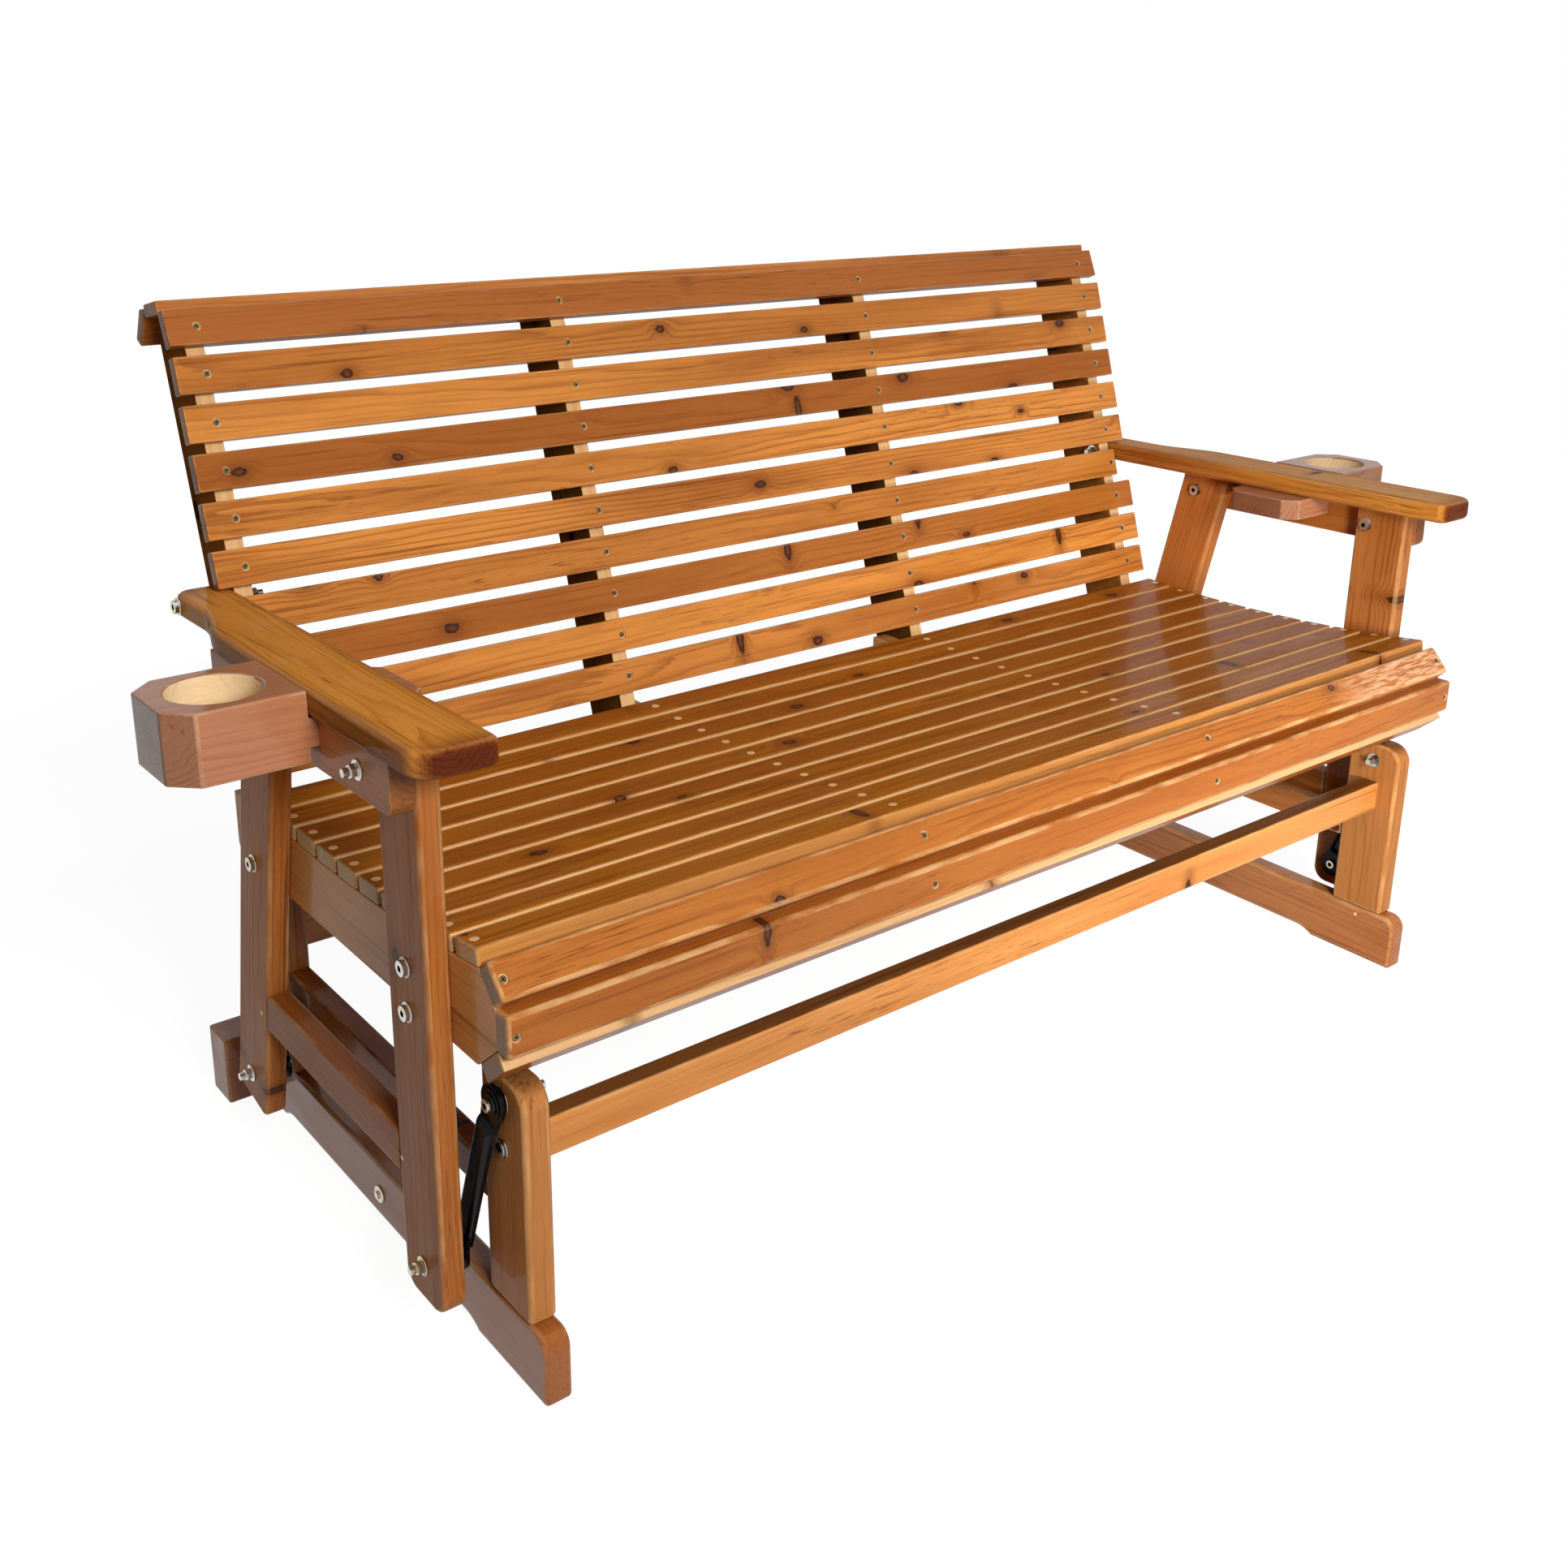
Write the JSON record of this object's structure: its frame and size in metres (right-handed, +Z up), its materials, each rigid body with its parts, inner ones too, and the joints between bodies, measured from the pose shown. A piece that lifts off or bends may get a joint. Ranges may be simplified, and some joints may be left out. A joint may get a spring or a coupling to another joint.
{
  "type": "slatted wooden glider bench",
  "caption": "Free-standing slatted wooden glider bench with a high back, armrests and side cup holders; the seat swings on steel arms over a fixed base.",
  "frame": {"origin": "on the floor, under the middle of the overall length and depth", "axes": "+X along the bench to the right of someone facing it, -Y towards the front, +Z up"},
  "size_m": [1.744, 0.7526, 0.9113],
  "materials": {
    "varnished_timber": "gloss",
    "pale_timber": "satin",
    "black_steel": "gloss",
    "zinc_steel": "satin"
  },
  "bodies": {
    "base": {"left_foot": "varnished_timber", "left_front_post": "varnished_timber", "left_rear_post": "varnished_timber", "right_foot": "varnished_timber", "right_front_post": "varnished_timber", "right_rear_post": "varnished_timber", "base_side_rails": "varnished_timber", "front_stretcher": "varnished_timber", "rear_stretcher": "varnished_timber", "rear_ground_beam": "varnished_timber", "stretcher_bolts": "zinc_steel", "upper_pivot_bolts": "zinc_steel"},
    "left_front_arm": {"left_front_glide_arm": "black_steel"},
    "right_front_arm": {"right_front_glide_arm": "black_steel"},
    "left_rear_arm": {"left_rear_glide_arm": "black_steel"},
    "right_rear_arm": {"right_rear_glide_arm": "black_steel"},
    "seat": {"left_seat_end_rail": "pale_timber", "left_front_leg": "varnished_timber", "left_rear_leg": "varnished_timber", "left_armrest": "varnished_timber", "left_cup_holder": "varnished_timber", "right_seat_end_rail": "pale_timber", "right_front_leg": "varnished_timber", "right_rear_leg": "varnished_timber", "right_armrest": "varnished_timber", "right_cup_holder": "varnished_timber", "seat_middle_rails": "pale_timber", "leg_rails": "varnished_timber", "under_arm_rails": "varnished_timber", "back_end_uprights": "pale_timber", "back_middle_uprights": "pale_timber", "seat_slat_1": "varnished_timber", "seat_slat_2": "varnished_timber", "seat_slat_3": "varnished_timber", "seat_slat_4": "varnished_timber", "seat_slat_5": "varnished_timber", "seat_slat_6": "varnished_timber", "seat_slat_7": "varnished_timber", "seat_slat_8": "varnished_timber", "seat_slat_9": "varnished_timber", "seat_slat_10": "varnished_timber", "seat_nose_slat": "varnished_timber", "seat_front_slat": "varnished_timber", "seat_under_slat": "varnished_timber", "back_slat_1": "varnished_timber", "back_slat_2": "varnished_timber", "back_slat_3": "varnished_timber", "back_slat_4": "varnished_timber", "back_slat_5": "varnished_timber", "back_slat_6": "varnished_timber", "back_slat_7": "varnished_timber", "back_slat_8": "varnished_timber", "back_slat_9": "varnished_timber", "back_slat_10": "varnished_timber", "crest_cap": "varnished_timber", "crest_rear_slat": "varnished_timber", "lower_pivot_bolts": "zinc_steel", "leg_bolts": "zinc_steel", "armrest_bolts": "zinc_steel"}
  },
  "joints": [
    {"name": "left_front_arm_swing", "type": "hinge", "parent": "base", "child": "left_front_arm", "pos_m": [-0.687, -0.31325, 0.288], "axis": [1, 0, 0], "range_deg": [-12, 9]},
    {"name": "right_front_arm_swing", "type": "hinge", "parent": "base", "child": "right_front_arm", "pos_m": [0.687, -0.31325, 0.288], "axis": [1, 0, 0], "range_deg": [-12, 9]},
    {"name": "left_rear_arm_swing", "type": "hinge", "parent": "base", "child": "left_rear_arm", "pos_m": [-0.687, 0.19975, 0.29495], "axis": [1, 0, 0], "range_deg": [-11.8, 8.85]},
    {"name": "right_rear_arm_swing", "type": "hinge", "parent": "base", "child": "right_rear_arm", "pos_m": [0.687, 0.19975, 0.29495], "axis": [1, 0, 0], "range_deg": [-11.8, 8.85]},
    {"name": "seat_glide", "type": "hinge", "parent": "left_front_arm", "child": "seat", "pos_m": [-0.687, -0.24525, 0.098], "axis": [1, 0, 0], "range_deg": [-11.5, 15.3]}
  ],
  "couplings": [
    {"joint": "right_front_arm_swing", "follows": "left_front_arm_swing", "ratio": 1},
    {"joint": "left_rear_arm_swing", "follows": "left_front_arm_swing", "ratio": 0.9833},
    {"joint": "right_rear_arm_swing", "follows": "left_front_arm_swing", "ratio": 0.9833},
    {"joint": "seat_glide", "follows": "left_front_arm_swing", "ratio": -1.2744}
  ]
}
